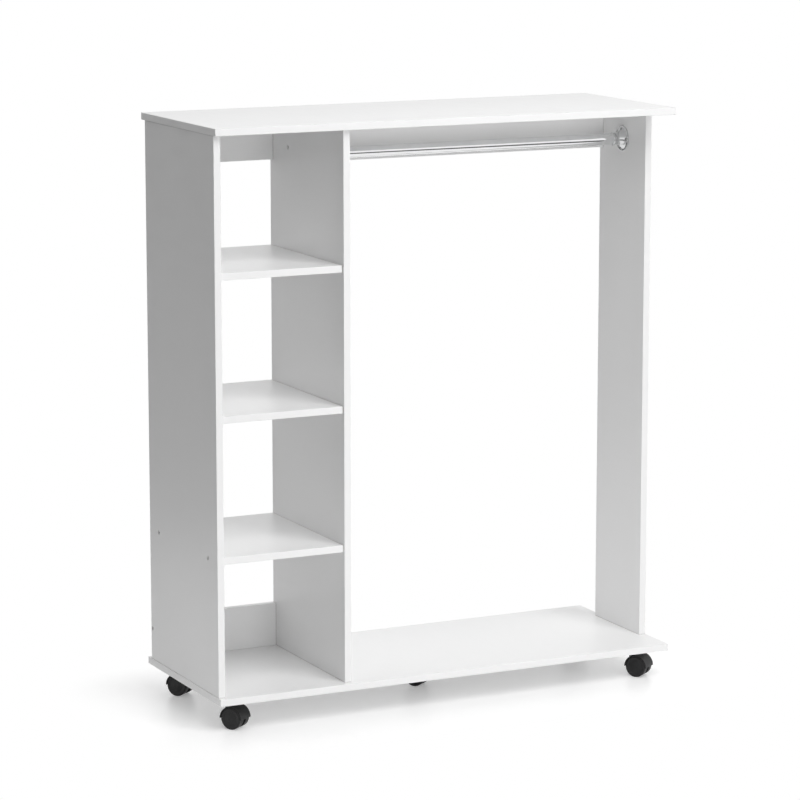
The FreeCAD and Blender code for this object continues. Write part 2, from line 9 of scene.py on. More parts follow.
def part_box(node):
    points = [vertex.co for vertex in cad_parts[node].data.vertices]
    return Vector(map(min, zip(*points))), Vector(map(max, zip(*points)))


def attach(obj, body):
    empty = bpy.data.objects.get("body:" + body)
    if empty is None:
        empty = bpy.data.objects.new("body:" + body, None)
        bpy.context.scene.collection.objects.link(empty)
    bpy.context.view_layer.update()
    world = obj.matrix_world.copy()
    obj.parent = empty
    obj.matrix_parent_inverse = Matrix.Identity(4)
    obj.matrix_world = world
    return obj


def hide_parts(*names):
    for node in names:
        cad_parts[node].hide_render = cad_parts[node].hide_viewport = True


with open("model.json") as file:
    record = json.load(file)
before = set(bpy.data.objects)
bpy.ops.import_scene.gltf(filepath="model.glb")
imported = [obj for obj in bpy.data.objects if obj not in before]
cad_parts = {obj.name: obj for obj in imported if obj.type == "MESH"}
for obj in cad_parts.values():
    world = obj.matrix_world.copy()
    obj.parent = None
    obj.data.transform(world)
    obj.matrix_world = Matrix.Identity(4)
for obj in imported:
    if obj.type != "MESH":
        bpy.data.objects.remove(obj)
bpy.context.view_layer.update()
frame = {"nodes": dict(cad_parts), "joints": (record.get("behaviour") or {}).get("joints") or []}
nodes = frame["nodes"]
mm = 0.001


# Castor plates
# Five pressed steel plates, zinc plated with a faint spangle, screwed flat under the base board. The rivet that
# each hood swivels on is pressed into the middle of its plate. Both keep their solids from the frame.
castor_names = (
    "castor_front_left", "castor_front_right", "castor_back_left", "castor_back_right", "castor_middle",
)


def put(tree, kind, inputs=(), **settings):
    """Adds a node, with its settings, and gives each named input a value or another node's output."""
    node = tree.nodes.new(kind)
    for name, value in settings.items():
        setattr(node, name, value)
    for key, value in dict(inputs).items():
        if isinstance(value, bpy.types.Node):
            value = value.outputs[0]
        if isinstance(value, bpy.types.NodeSocket):
            tree.links.new(value, node.inputs[key])
        else:
            node.inputs[key].default_value = value
    return node


def figure(tree, operation, *values):
    """One step of arithmetic on numbers."""
    kind = "ShaderNodeMath"
    return put(tree, kind, dict(enumerate(values)), operation=operation).outputs[0]


def vector_figure(tree, operation, *values):
    """One step of arithmetic on vectors."""
    kind = "ShaderNodeVectorMath"
    return put(tree, kind, dict(enumerate(values)), operation=operation).outputs[0]


def between(tree, value, low, high, to_low=0.0, to_high=1.0):
    """Maps a value's range smoothly to another one."""
    limits = {0: value, 1: low, 2: high, 3: to_low, 4: to_high}
    return put(tree, "ShaderNodeMapRange", limits, interpolation_type="SMOOTHSTEP").outputs[0]


def tinted(tree, share, first, second, blend="MIX"):
    """A mix of two colours."""
    mixed = put(tree, "ShaderNodeMix", {0: share, 6: first, 7: second}, data_type="RGBA", blend_type=blend)
    return mixed.outputs[2]


def blended(tree, share, first, second):
    """A mix of two numbers."""
    return put(tree, "ShaderNodeMix", {0: share, 2: first, 3: second}, data_type="FLOAT").outputs[0]


def grey(level):
    return (level, level, level, 1.0)


def new_effect(name, inputs, outputs):
    """A node group with named inputs and outputs. Returns it, its inputs' sockets and its outputs' sockets."""
    tree = bpy.data.node_groups.new(name, "ShaderNodeTree")
    for label, kind in inputs.items():
        tree.interface.new_socket(name=label, in_out="INPUT", socket_type="NodeSocket" + kind)
    for label, kind in outputs.items():
        tree.interface.new_socket(name=label, in_out="OUTPUT", socket_type="NodeSocket" + kind)
    source = tree.nodes.new("NodeGroupInput").outputs
    result = tree.nodes.new("NodeGroupOutput").inputs
    return tree, source, result


def new_finish(name, **fixed):
    """A material with one Principled shader, whose named sockets are set to plain numbers."""
    material = bpy.data.materials.new(name)
    material.use_nodes = True
    tree = material.node_tree
    tree.nodes.clear()
    shader = tree.nodes.new("ShaderNodeBsdfPrincipled")
    for label, value in fixed.items():
        shader.inputs[label.replace("_", " ")].default_value = value
    output = tree.nodes.new("ShaderNodeOutputMaterial")
    tree.links.new(shader.outputs[0], output.inputs["Surface"])
    return material, tree, shader


def raise_surface(tree, shader, height, relief):
    bump = put(tree, "ShaderNodeBump", {"Height": height, "Distance": relief})
    tree.links.new(bump.outputs[0], shader.inputs["Normal"])


def wear_effect(tree, shader, effect, values, relief):
    """Places an effect in a material: its colour and roughness go to the shader, its height to a bump."""
    placed = put(tree, "ShaderNodeGroup", values, node_tree=effect)
    tree.links.new(placed.outputs["Color"], shader.inputs["Base Color"])
    tree.links.new(placed.outputs["Roughness"], shader.inputs["Roughness"])
    raise_surface(tree, shader, placed.outputs["Height"], relief)


def object_place(tree):
    return tree.nodes.new("ShaderNodeTexCoord").outputs["Object"]


def own_place(tree):
    """The place within one copy of a small piece, as it was when the piece was shaped."""
    return put(tree, "ShaderNodeAttribute", attribute_name="own_place").outputs["Vector"]


def plated_metal_effect():
    """Plated metal: drawn lines along one way, a cloudy shine, and faint spangle or tarnish."""
    tree, source, result = new_effect(
        "plated_metal",
        {"Place": "Vector", "Line ways": "Vector", "Tint": "Color", "Dull tint": "Color",
         "Shine low": "Float", "Shine high": "Float", "Spangle": "Float"},
        {"Color": "Color", "Roughness": "Float", "Height": "Float"},
    )
    stretched = vector_figure(tree, "MULTIPLY", source["Place"], source["Line ways"])
    lines = put(tree, "ShaderNodeTexNoise", {"Vector": stretched, "Scale": 900.0, "Detail": 3.0})
    cloud = put(tree, "ShaderNodeTexNoise", {"Vector": source["Place"], "Scale": 38.0, "Detail": 4.0})
    flakes = put(tree, "ShaderNodeTexVoronoi", {"Vector": source["Place"], "Scale": 420.0})
    flake_tone = put(tree, "ShaderNodeSeparateColor", {0: flakes.outputs["Color"]})
    flake = figure(tree, "MULTIPLY", flake_tone, source["Spangle"])
    cloudy = between(tree, cloud, 0.35, 0.7)
    worn = figure(tree, "MAXIMUM", cloudy, flake)
    tree.links.new(tinted(tree, worn, source["Tint"], source["Dull tint"]), result["Color"])
    shine = figure(tree, "ADD", figure(tree, "MULTIPLY", cloudy, 0.6), figure(tree, "MULTIPLY", lines, 0.4))
    span = figure(tree, "SUBTRACT", source["Shine high"], source["Shine low"])
    tree.links.new(figure(tree, "MULTIPLY_ADD", shine, span, source["Shine low"]), result["Roughness"])
    tree.links.new(figure(tree, "MULTIPLY_ADD", flake, 0.3, lines.outputs[0]), result["Height"])
    return tree


plated_metal = plated_metal_effect()


def metal_finish(name, tint, dull_tint, shine, line_ways, spangle, relief, place=object_place):
    """A plated metal. shine gives the lowest and the highest roughness, and relief the depth of its lines in m."""
    material, tree, shader = new_finish(name, Metallic=1.0)
    wear_effect(tree, shader, plated_metal, {
        "Place": place(tree), "Line ways": line_ways, "Tint": tint, "Dull tint": dull_tint,
        "Shine low": shine[0], "Shine high": shine[1], "Spangle": spangle,
    }, relief)
    return material


def dress(node_name, material):
    """Gives a piece of the frame its finish."""
    for slot in nodes[node_name].material_slots:
        slot.material = material


zinc_plate = metal_finish(
    "zinc_plate", (0.56, 0.57, 0.58, 1), (0.42, 0.43, 0.45, 1), shine=(0.28, 0.46),
    line_ways=(1.0, 1.0, 1.0), spangle=0.8, relief=0.02 * mm,
)
rivet_steel = metal_finish(
    "rivet_steel", (0.52, 0.52, 0.53, 1), (0.38, 0.37, 0.37, 1), shine=(0.22, 0.4),
    line_ways=(1.0, 1.0, 0.05), spangle=0.1, relief=0.02 * mm,
)
for castor in castor_names:
    dress(castor + "_plate", zinc_plate)
    dress(castor + "_swivel_pin", rivet_steel)
    dress(castor + "_axle", rivet_steel)


# Castor hoods
# A black nylon moulding: a half drum over both wheels, in one piece with the neck and the web between them.
# Its mould was spark eroded, which leaves a fine matt grain, and it has picked up a few pale scuffs.
nylon_relief = 0.04 * mm


def moulded_nylon_effect():
    """Moulded black nylon: a fine matt grain, an uneven shine, and specks where it is scuffed."""
    tree, source, result = new_effect(
        "moulded_nylon",
        {"Place": "Vector", "Shade": "Color", "Scuffed shade": "Color", "Scuff": "Float",
         "Shine low": "Float", "Shine high": "Float"},
        {"Color": "Color", "Roughness": "Float", "Height": "Float"},
    )
    grain = put(tree, "ShaderNodeTexNoise", {"Vector": source["Place"], "Scale": 1900.0, "Detail": 2.0})
    cloud = put(tree, "ShaderNodeTexNoise", {"Vector": source["Place"], "Scale": 70.0, "Detail": 3.0})
    specks = put(tree, "ShaderNodeTexNoise", {"Vector": source["Place"], "Scale": 520.0, "Detail": 4.0})
    rubbed = figure(tree, "MULTIPLY", between(tree, specks, 0.45, 0.68), source["Scuff"])
    tree.links.new(tinted(tree, rubbed, source["Shade"], source["Scuffed shade"]), result["Color"])
    span = figure(tree, "SUBTRACT", source["Shine high"], source["Shine low"])
    tree.links.new(figure(tree, "MULTIPLY_ADD", cloud, span, source["Shine low"]), result["Roughness"])
    tree.links.new(figure(tree, "MULTIPLY_ADD", rubbed, 0.5, grain.outputs[0]), result["Height"])
    return tree


moulded_nylon = moulded_nylon_effect()
black_hood, tree, shader = new_finish("black_hood", IOR=1.38)
wear_effect(tree, shader, moulded_nylon, {
    "Place": object_place(tree), "Shade": (0.009, 0.009, 0.0094, 1), "Scuffed shade": (0.02, 0.02, 0.02, 1),
    "Scuff": 0.25, "Shine low": 0.36, "Shine high": 0.5,
}, nylon_relief)
for castor in castor_names:
    dress(castor + "_hood", black_hood)


# Castor wheels
# Ten black nylon wheels with a closed outer face: a rim, a shallow dish with a moulded ring, and a hub button.
# The inner side is hollow, with a hub for the axle and moulded ribs, and the tread has picked up a little dust.
wheel_radius = 23.0 * mm
wheel_width = 14.0 * mm
wheel_turn_steps = 80
wheel_rib_count = 8
wheel_hub_radius = 6.5 * mm
wheel_cavity_radius = 19.4 * mm
wheel_cavity_end = 10.9 * mm
rib_bite = 0.6 * mm
tread_dust_from = wheel_radius - 1.4 * mm
tread_dust_full = wheel_radius - 0.1 * mm
wheel_section = (
    (0, 11.9), (3.05, 11.9), (3.05, 0.3), (3.35, 0), (6.2, 0), (6.5, 0.3), (6.5, 10.6), (6.8, 10.9),
    (19.1, 10.9), (19.4, 10.6), (19.4, 0.3), (19.7, 0), (22.2, 0), (22.77, 0.23), (23, 0.8),
    (23, 4.6), (23, 9.4), (23, 12.2), (22.86, 12.89), (22.47, 13.47), (21.89, 13.86), (21.2, 14),
    (18.6, 14), (18.35, 13.92), (17.65, 13.38), (17.4, 13.3), (15.3, 13.3), (15.1, 13.22), (14.9, 12.98),
    (14.5, 12.98), (14.3, 13.22), (14.1, 13.3), (6.9, 13.3), (6.6, 13.38), (6.2, 13.66), (6, 13.7),
    (1.9, 13.7), (1.7, 13.62), (1.5, 13.4), (0, 13.4),
)


def turned(name, section, steps, reach=None):
    """A closed shape turned about Z from (radius, height) points in mm. reach changes a radius by its angle."""
    made = bmesh.new()
    rings = []
    for index, (radius, height) in enumerate(section):
        ring = []
        for step in range(steps if radius else 1):
            angle = 2 * math.pi * step / steps
            out = reach(radius, height, angle, index) if reach else radius
            ring.append(made.verts.new(Vector((out * math.cos(angle), out * math.sin(angle), height)) * mm))
        rings.append(ring)
    for low, high in zip(rings, rings[1:]):
        for step in range(steps):
            corners = [low[step % len(low)], low[(step + 1) % len(low)],
                       high[(step + 1) % len(high)], high[step % len(high)]]
            made.faces.new(dict.fromkeys(corners))
    bmesh.ops.recalc_face_normals(made, faces=made.faces)
    mesh = bpy.data.meshes.new(name)
    made.to_mesh(mesh)
    made.free()
    smooth_but_creased(mesh)
    own = mesh.attributes.new("own_place", "FLOAT_VECTOR", "POINT")
    own.data.foreach_set("vector", [value for vertex in mesh.vertices for value in vertex.co])
    shown = bpy.data.objects.new(name, mesh)
    bpy.context.scene.collection.objects.link(shown)
    return shown


def smooth_but_creased(mesh):
    mesh.polygons.foreach_set("use_smooth", [True] * len(mesh.polygons))
    mesh.set_sharp_from_angle(angle=math.radians(32))


def new_geometry_tree(name, inputs):
    """A Geometry Nodes tree with one geometry in and out and named inputs for its sizes."""
    tree = bpy.data.node_groups.new(name, "GeometryNodeTree")
    tree.interface.new_socket(name="Geometry", in_out="INPUT", socket_type="NodeSocketGeometry")
    for label, kind in inputs.items():
        tree.interface.new_socket(name=label, in_out="INPUT", socket_type="NodeSocket" + kind)
    tree.interface.new_socket(name="Geometry", in_out="OUTPUT", socket_type="NodeSocketGeometry")
    return tree, tree.nodes.new("NodeGroupInput").outputs, tree.nodes.new("NodeGroupOutput").inputs


def run_tree(maker, tree, values, name):
    """Runs a Geometry Nodes tree on an object and returns the result as a plain object in its place."""
    modifier = maker.modifiers.new(tree.name, "NODES")
    modifier.node_group = tree
    for socket in tree.interface.items_tree:
        if socket.item_type == "SOCKET" and socket.in_out == "INPUT" and socket.name in values:
            modifier[socket.identifier] = values[socket.name]
    bpy.context.view_layer.update()
    mesh = bpy.data.meshes.new_from_object(maker.evaluated_get(bpy.context.evaluated_depsgraph_get()))
    bpy.data.objects.remove(maker)
    mesh.name = name
    made = bpy.data.objects.new(name, mesh)
    bpy.context.scene.collection.objects.link(made)
    return made


def wheel_ribs_tree():
    """Joins a ring of ribs, which fall away towards the rim, to a wheel."""
    tree, source, result = new_geometry_tree("moulded_ribs", {
        "Rib count": "Int", "Hub radius": "Float", "Cavity radius": "Float", "Rib height": "Float",
        "Rib thickness": "Float", "Rim fall": "Float", "Finish": "Material",
    })
    length = figure(tree, "SUBTRACT", source["Cavity radius"], source["Hub radius"])
    size = put(tree, "ShaderNodeCombineXYZ", {
        0: figure(tree, "ADD", length, rib_bite), 1: source["Rib thickness"], 2: source["Rib height"],
    })
    rib = put(tree, "GeometryNodeMeshCube", {"Size": size, "Vertices X": 7})
    place = put(tree, "ShaderNodeSeparateXYZ", {0: put(tree, "GeometryNodeInputPosition")})
    outwards = figure(tree, "ADD", figure(tree, "DIVIDE", place.outputs[0], length), 0.5)
    lowered = figure(tree, "LESS_THAN", place.outputs[2], 0.0)
    fall = figure(tree, "MULTIPLY", figure(tree, "MULTIPLY", outwards, outwards), source["Rim fall"])
    offset = put(tree, "ShaderNodeCombineXYZ", {2: figure(tree, "MULTIPLY", fall, lowered)})
    rib = put(tree, "GeometryNodeSetPosition", {"Geometry": rib, "Offset": offset})
    middle = figure(tree, "DIVIDE", figure(tree, "ADD", source["Cavity radius"], source["Hub radius"]), 2.0)
    up = figure(tree, "SUBTRACT", wheel_cavity_end, figure(tree, "DIVIDE", source["Rib height"], 2.0))
    rib = put(tree, "GeometryNodeTransform", {
        "Geometry": rib, "Translation": put(tree, "ShaderNodeCombineXYZ", {0: middle, 2: up}),
    })
    row = put(tree, "GeometryNodeMeshLine", {"Count": source["Rib count"], "Offset": (0, 0, 0)})
    turn = figure(tree, "DIVIDE", 2 * math.pi, source["Rib count"])
    turn = figure(tree, "MULTIPLY", put(tree, "GeometryNodeInputIndex"), turn)
    ring = put(tree, "GeometryNodeInstanceOnPoints", {
        "Points": row, "Instance": rib, "Rotation": put(tree, "ShaderNodeCombineXYZ", {2: turn}),
    })
    ring = put(tree, "GeometryNodeRealizeInstances", {0: ring})
    joined = put(tree, "GeometryNodeJoinGeometry")
    tree.links.new(ring.outputs[0], joined.inputs[0])
    tree.links.new(source["Geometry"], joined.inputs[0])
    done = put(tree, "GeometryNodeSetMaterial", {"Geometry": joined, "Material": source["Finish"]})
    tree.links.new(done.outputs[0], result[0])
    return tree


black_wheel, tree, shader = new_finish("black_wheel", IOR=1.38)
own = own_place(tree)
flat_own = vector_figure(tree, "MULTIPLY", own, (1.0, 1.0, 0.0))
from_axle = put(tree, "ShaderNodeVectorMath", {0: flat_own}, operation="LENGTH").outputs["Value"]
dust = between(tree, from_axle, tread_dust_from, tread_dust_full, 0.12, 0.8)
wear_effect(tree, shader, moulded_nylon, {
    "Place": own, "Shade": (0.0095, 0.0095, 0.0099, 1), "Scuffed shade": (0.028, 0.0275, 0.0265, 1),
    "Scuff": dust, "Shine low": 0.38, "Shine high": 0.52,
}, nylon_relief)
wheel_blank = turned("wheel", wheel_section, wheel_turn_steps)
wheel = run_tree(wheel_blank, wheel_ribs_tree(), {
    "Rib count": wheel_rib_count, "Hub radius": wheel_hub_radius, "Cavity radius": wheel_cavity_radius,
    "Rib height": 9.0 * mm, "Rib thickness": 1.2 * mm, "Rim fall": 3.5 * mm, "Finish": black_wheel,
}, "wheel")
for joint in frame["joints"]:
    if not joint["name"].endswith("_wheel_spin"):
        continue
    node_name = joint["child"]
    low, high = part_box(node_name)
    centre = (low + high) / 2
    axis = Vector(joint["axis"]).normalized()
    outwards = axis if axis.dot(centre - Vector(joint["pos_m"])) > 0 else -axis
    turn = outwards.to_track_quat("Z", "Y").to_matrix().to_4x4()
    mesh = wheel.data.copy()
    mesh.transform(Matrix.Translation(centre - outwards * (wheel_width / 2)) @ turn)
    shown = bpy.data.objects.new(node_name + "_moulding", mesh)
    bpy.context.scene.collection.objects.link(shown)
    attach(shown, node_name)
    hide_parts(node_name)
bpy.data.objects.remove(wheel)


# Boards
# Eleven boards of 15 mm chipboard, faced with white melamine foil and edged with a 0.8 mm white band, whose glue
# line shows as a hair along each edge. Board ends that stand in a joint are raw, and so are the drilled holes.
# Beside each joint the face carries painted shade, which darkens it towards grey over its last 2.2 mm.
# Each board's banded ways (x, y, z) come first, and then its ways with raw ends.
board_edging = {
    "base_board": ((1, 1, 0), (0, 0, 0)),
    "top_board": ((1, 1, 0), (0, 0, 0)),
    "left_side_panel": ((0, 1, 0), (0, 0, 1)),
    "divider_panel": ((0, 1, 0), (0, 0, 1)),
    "right_side_panel": ((0, 1, 0), (0, 0, 1)),
    "fixed_shelf": ((0, 1, 0), (1, 0, 0)),
    "middle_shelf": ((0, 1, 0), (1, 0, 0)),
    "upper_shelf": ((0, 1, 0), (1, 0, 0)),
    "lower_back_rail": ((0, 0, 1), (1, 0, 0)),
    "upper_back_rail": ((0, 0, 1), (1, 0, 0)),
    "hanging_bay_rail": ((0, 0, 1), (1, 0, 0)),
}
board_white = 0.9
band_white = board_white * 0.985
chip_brown = (0.47, 0.34, 0.21, 1)
dark_chip_brown = (0.24, 0.15, 0.08, 1)
band_thickness = 0.81 * mm
deepest_foil = 1.62 * mm
foil_relief = 0.02 * mm


def faced_board_effect():
    """Melamine foil over chipboard, told apart by how deep a point lies in the board's own box."""
    tree, source, result = new_effect(
        "faced_board",
        {"Place": "Vector", "Low corner": "Vector", "High corner": "Vector", "Banded ways": "Vector",
         "Raw ways": "Vector", "Foil": "Color", "Band": "Color", "Chip": "Color", "Dark chip": "Color"},
        {"Color": "Color", "Roughness": "Float", "Height": "Float"},
    )
    from_low = vector_figure(tree, "SUBTRACT", source["Place"], source["Low corner"])
    from_high = vector_figure(tree, "SUBTRACT", source["High corner"], source["Place"])
    depth = vector_figure(tree, "MINIMUM", from_low, from_high)

    def least(vector):
        parts = put(tree, "ShaderNodeSeparateXYZ", {0: vector}).outputs
        return figure(tree, "MINIMUM", figure(tree, "MINIMUM", parts[0], parts[1]), parts[2])

    def least_along(ways):
        """The depth under the faces of the marked ways only: on the others it grows past any board's size."""
        unmarked = vector_figure(tree, "SUBTRACT", (1.0, 1.0, 1.0), ways)
        return least(vector_figure(tree, "MULTIPLY_ADD", unmarked, (9.0, 9.0, 9.0), depth))

    band_depth = least_along(source["Banded ways"])
    raw_depth = least_along(source["Raw ways"])
    in_band = between(tree, band_depth, band_thickness - 0.03 * mm, band_thickness + 0.03 * mm, 1.0, 0.0)
    from_glue = figure(tree, "ABSOLUTE", figure(tree, "SUBTRACT", band_depth, band_thickness))
    glue_line = between(tree, from_glue, 0.03 * mm, 0.1 * mm, 1.0, 0.0)
    bored = between(tree, least(depth), deepest_foil, deepest_foil + 0.08 * mm)
    core = figure(tree, "MAXIMUM", bored, between(tree, raw_depth, 0.05 * mm, 0.12 * mm, 1.0, 0.0))
    # Painted shade: the last 2.2 mm of a face before a raw end is darkened, standing in for the shade where two
    # boards meet.
    painted_joint_shade = between(tree, raw_depth, 0.3 * mm, 2.2 * mm, 1.0, 0.0)

    pearl = put(tree, "ShaderNodeTexNoise", {"Vector": source["Place"], "Scale": 1500.0, "Detail": 2.0})
    peel = put(tree, "ShaderNodeTexNoise", {"Vector": source["Place"], "Scale": 260.0, "Detail": 2.0})
    cloud = put(tree, "ShaderNodeTexNoise", {"Vector": source["Place"], "Scale": 6.0, "Detail": 5.0})
    wiped = vector_figure(tree, "MULTIPLY", source["Place"], (1.0, 0.12, 0.5))
    scuffs = put(tree, "ShaderNodeTexNoise", {"Vector": wiped, "Scale": 130.0, "Detail": 5.0})
    cloudy_foil = tinted(tree, 1.0, source["Foil"], grey(0.965), "MULTIPLY")
    foil = tinted(tree, figure(tree, "MULTIPLY", cloud, 0.5), source["Foil"], cloudy_foil)
    pearly_foil = tinted(tree, 1.0, foil, grey(0.95), "MULTIPLY")
    foil = tinted(tree, between(tree, pearl, 0.3, 0.75, 0.0, 0.35), foil, pearly_foil)
    colour = tinted(tree, in_band, foil, source["Band"])
    colour = tinted(tree, figure(tree, "MULTIPLY", glue_line, 0.5), colour, (0.42, 0.4, 0.37, 1))
    # Painted shade beside each joint: the face is taken up to 40 % of the way to dark grey.
    colour = tinted(tree, figure(tree, "MULTIPLY", painted_joint_shade, 0.4), colour, (0.3, 0.3, 0.3, 1))

    pressed = vector_figure(tree, "MULTIPLY", source["Place"], (1.0, 1.0, 1.6))
    flakes = put(tree, "ShaderNodeTexVoronoi", {"Vector": pressed, "Scale": 620.0})
    flake = put(tree, "ShaderNodeSeparateColor", {0: flakes.outputs["Color"]}).outputs[0]
    dust = put(tree, "ShaderNodeTexNoise", {"Vector": source["Place"], "Scale": 1100.0, "Detail": 3.0})
    mottle = figure(tree, "MULTIPLY", figure(tree, "ADD", flake, dust.outputs[0]), 0.5)
    chip = tinted(tree, mottle, source["Chip"], source["Dark chip"])
    tree.links.new(tinted(tree, core, colour, chip), result["Color"])

    shine = between(tree, scuffs, 0.42, 0.75, 0.34, 0.46)
    shine = figure(tree, "MULTIPLY_ADD", in_band, -0.05, shine)
    tree.links.new(blended(tree, core, shine, 0.9), result["Roughness"])
    skin = figure(tree, "MULTIPLY_ADD", peel.outputs[0], 0.6, figure(tree, "MULTIPLY", pearl, 0.4))
    skin = figure(tree, "MULTIPLY_ADD", glue_line, -1.5, skin)
    tree.links.new(blended(tree, core, skin, figure(tree, "MULTIPLY", flake, 9.0)), result["Height"])
    return tree


faced_board = faced_board_effect()
for node_name, (banded, raw) in board_edging.items():
    low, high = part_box(node_name)
    material, tree, shader = new_finish("white_" + node_name, IOR=1.45)
    wear_effect(tree, shader, faced_board, {
        "Place": object_place(tree), "Low corner": low, "High corner": high,
        "Banded ways": banded, "Raw ways": raw, "Foil": grey(board_white), "Band": grey(band_white),
        "Chip": chip_brown, "Dark chip": dark_chip_brown,
    }, foil_relief)
    dress(node_name, material)


# Screws
# Board screws with a flat, white lacquered head and a hexagon socket pull the boards together. Short round head
# screws with a cross recess hold the castor plates and the rod's flanges. All are plated, with rolled threads.
screw_steps = 36
rings_per_turn = 7
recess_rings = 3


def rolled_thread_tree():
    """Rolls a thread into the plain shank of a blank that stands on the Z axis."""
    tree, source, result = new_geometry_tree("rolled_thread", {
        "Start": "Float", "End": "Float", "Pitch": "Float", "Core radius": "Float", "Crest radius": "Float",
        "Finish": "Material",
    })
    place = put(tree, "GeometryNodeInputPosition").outputs[0]
    x, y, z = put(tree, "ShaderNodeSeparateXYZ", {0: place}).outputs
    across = figure(tree, "ADD", figure(tree, "MULTIPLY", x, x), figure(tree, "MULTIPLY", y, y))
    across = figure(tree, "SQRT", across)
    angle = figure(tree, "DIVIDE", figure(tree, "ARCTAN2", y, x), 2 * math.pi)
    turns = figure(tree, "SUBTRACT", figure(tree, "DIVIDE", z, source["Pitch"]), angle)
    phase = figure(tree, "FRACT", turns)
    from_crest = figure(tree, "ABSOLUTE", figure(tree, "MULTIPLY_ADD", phase, 2.0, -1.0))
    ridge = figure(tree, "SUBTRACT", 1.0, from_crest)
    ridge = figure(tree, "MAXIMUM", figure(tree, "MULTIPLY_ADD", ridge, 1.6, -0.6), 0.0)
    run_in = figure(tree, "DIVIDE", figure(tree, "SUBTRACT", z, source["Start"]), source["Pitch"])
    run_out = figure(tree, "DIVIDE", figure(tree, "SUBTRACT", source["End"], z), source["Pitch"])
    depth_share = put(tree, "ShaderNodeClamp", {0: figure(tree, "MINIMUM", run_in, run_out)})
    ridge = figure(tree, "MULTIPLY", ridge, depth_share)
    depth = figure(tree, "SUBTRACT", source["Crest radius"], source["Core radius"])
    radius = figure(tree, "MULTIPLY_ADD", ridge, depth, source["Core radius"])
    factor = figure(tree, "DIVIDE", radius, figure(tree, "MAXIMUM", across, 0.00001))
    scale = put(tree, "ShaderNodeCombineXYZ", {0: factor, 1: factor, 2: 1.0})
    threaded = vector_figure(tree, "MULTIPLY", place, scale)
    above = figure(tree, "GREATER_THAN", z, source["Start"])
    below = figure(tree, "LESS_THAN", z, source["End"])
    chosen = figure(tree, "MULTIPLY", above, below)
    rolled = put(tree, "GeometryNodeSetPosition", {
        "Geometry": source["Geometry"], "Selection": chosen, "Position": threaded,
    })
    done = put(tree, "GeometryNodeSetMaterial", {"Geometry": rolled, "Material": source["Finish"]})
    tree.links.new(done.outputs[0], result[0])
    return tree


def driven_in_tree():
    """Sets one copy of a piece at every point, with its Z axis along the point's way and its own random turn."""
    tree, source, result = new_geometry_tree("driven_in", {
        "Piece": "Object", "Finish": "Material", "Seed": "Int", "Greatest turn": "Float",
    })
    piece = put(tree, "GeometryNodeObjectInfo", {"Object": source["Piece"]}, transform_space="ORIGINAL")
    way = put(tree, "GeometryNodeInputNamedAttribute", {"Name": "way"}, data_type="FLOAT_VECTOR")
    turned_to = put(tree, "FunctionNodeAlignRotationToVector", {"Vector": way.outputs[0]}, axis="Z")
    set_in = put(tree, "GeometryNodeInstanceOnPoints", {
        "Points": source["Geometry"], "Instance": piece.outputs["Geometry"], "Rotation": turned_to,
    })
    chance = put(tree, "FunctionNodeRandomValue", data_type="FLOAT")
    tree.links.new(source["Seed"], chance.inputs["Seed"])
    tree.links.new(source["Greatest turn"], chance.inputs[3])
    turn = put(tree, "ShaderNodeCombineXYZ", {2: chance.outputs[1]})
    turned_in = put(tree, "GeometryNodeRotateInstances", {"Instances": set_in, "Rotation": turn})
    realized = put(tree, "GeometryNodeRealizeInstances", {0: turned_in})
    done = put(tree, "GeometryNodeSetMaterial", {"Geometry": realized, "Material": source["Finish"]})
    tree.links.new(done.outputs[0], result[0])
    return tree


rolled_thread = rolled_thread_tree()
driven_in = driven_in_tree()


def drive_in(piece, places, node_name, material, seed):
    """One mesh of all copies of a piece, at (point, way) places, that stands for a node of the frame."""
    mesh = bpy.data.meshes.new(node_name + "_points")
    mesh.from_pydata([point for point, way in places], [], [])
    ways = mesh.attributes.new("way", "FLOAT_VECTOR", "POINT")
    ways.data.foreach_set("vector", [value for point, way in places for value in way])
    points = bpy.data.objects.new(node_name + "_points", mesh)
    bpy.context.scene.collection.objects.link(points)
    values = {"Piece": piece, "Finish": material, "Seed": seed, "Greatest turn": 2 * math.pi}
    shown = run_tree(points, driven_in, values, node_name + "_set")
    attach(shown, "wardrobe")
    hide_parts(node_name)
    bpy.data.objects.remove(piece)


def shank_rings(radius, start, end, pitch):
    """Section points in mm, close enough together to take a thread."""
    count = math.ceil((end - start) / pitch * rings_per_turn)
    return [(radius, start + (end - start) * index / count) for index in range(count + 1)]


def hexagon_reach(radius, height, angle, index):
    """Turns the first rings of a head into its hexagon socket."""
    if index >= recess_rings:
        return radius
    return radius / math.cos((angle + math.pi / 6) % (math.pi / 3) - math.pi / 6)


def cross_reach(radius, height, angle, index):
    """Turns the first rings of a head into its cross recess."""
    if index >= recess_rings:
        return radius
    arm = 1.8
    half_width = 0.42
    middle = half_width * 1.6
    off_arm = abs((angle + math.pi / 4) % (math.pi / 2) - math.pi / 4)
    reach = min(arm, half_width / max(math.sin(off_arm), 0.05))
    return max(reach, middle) * radius / arm


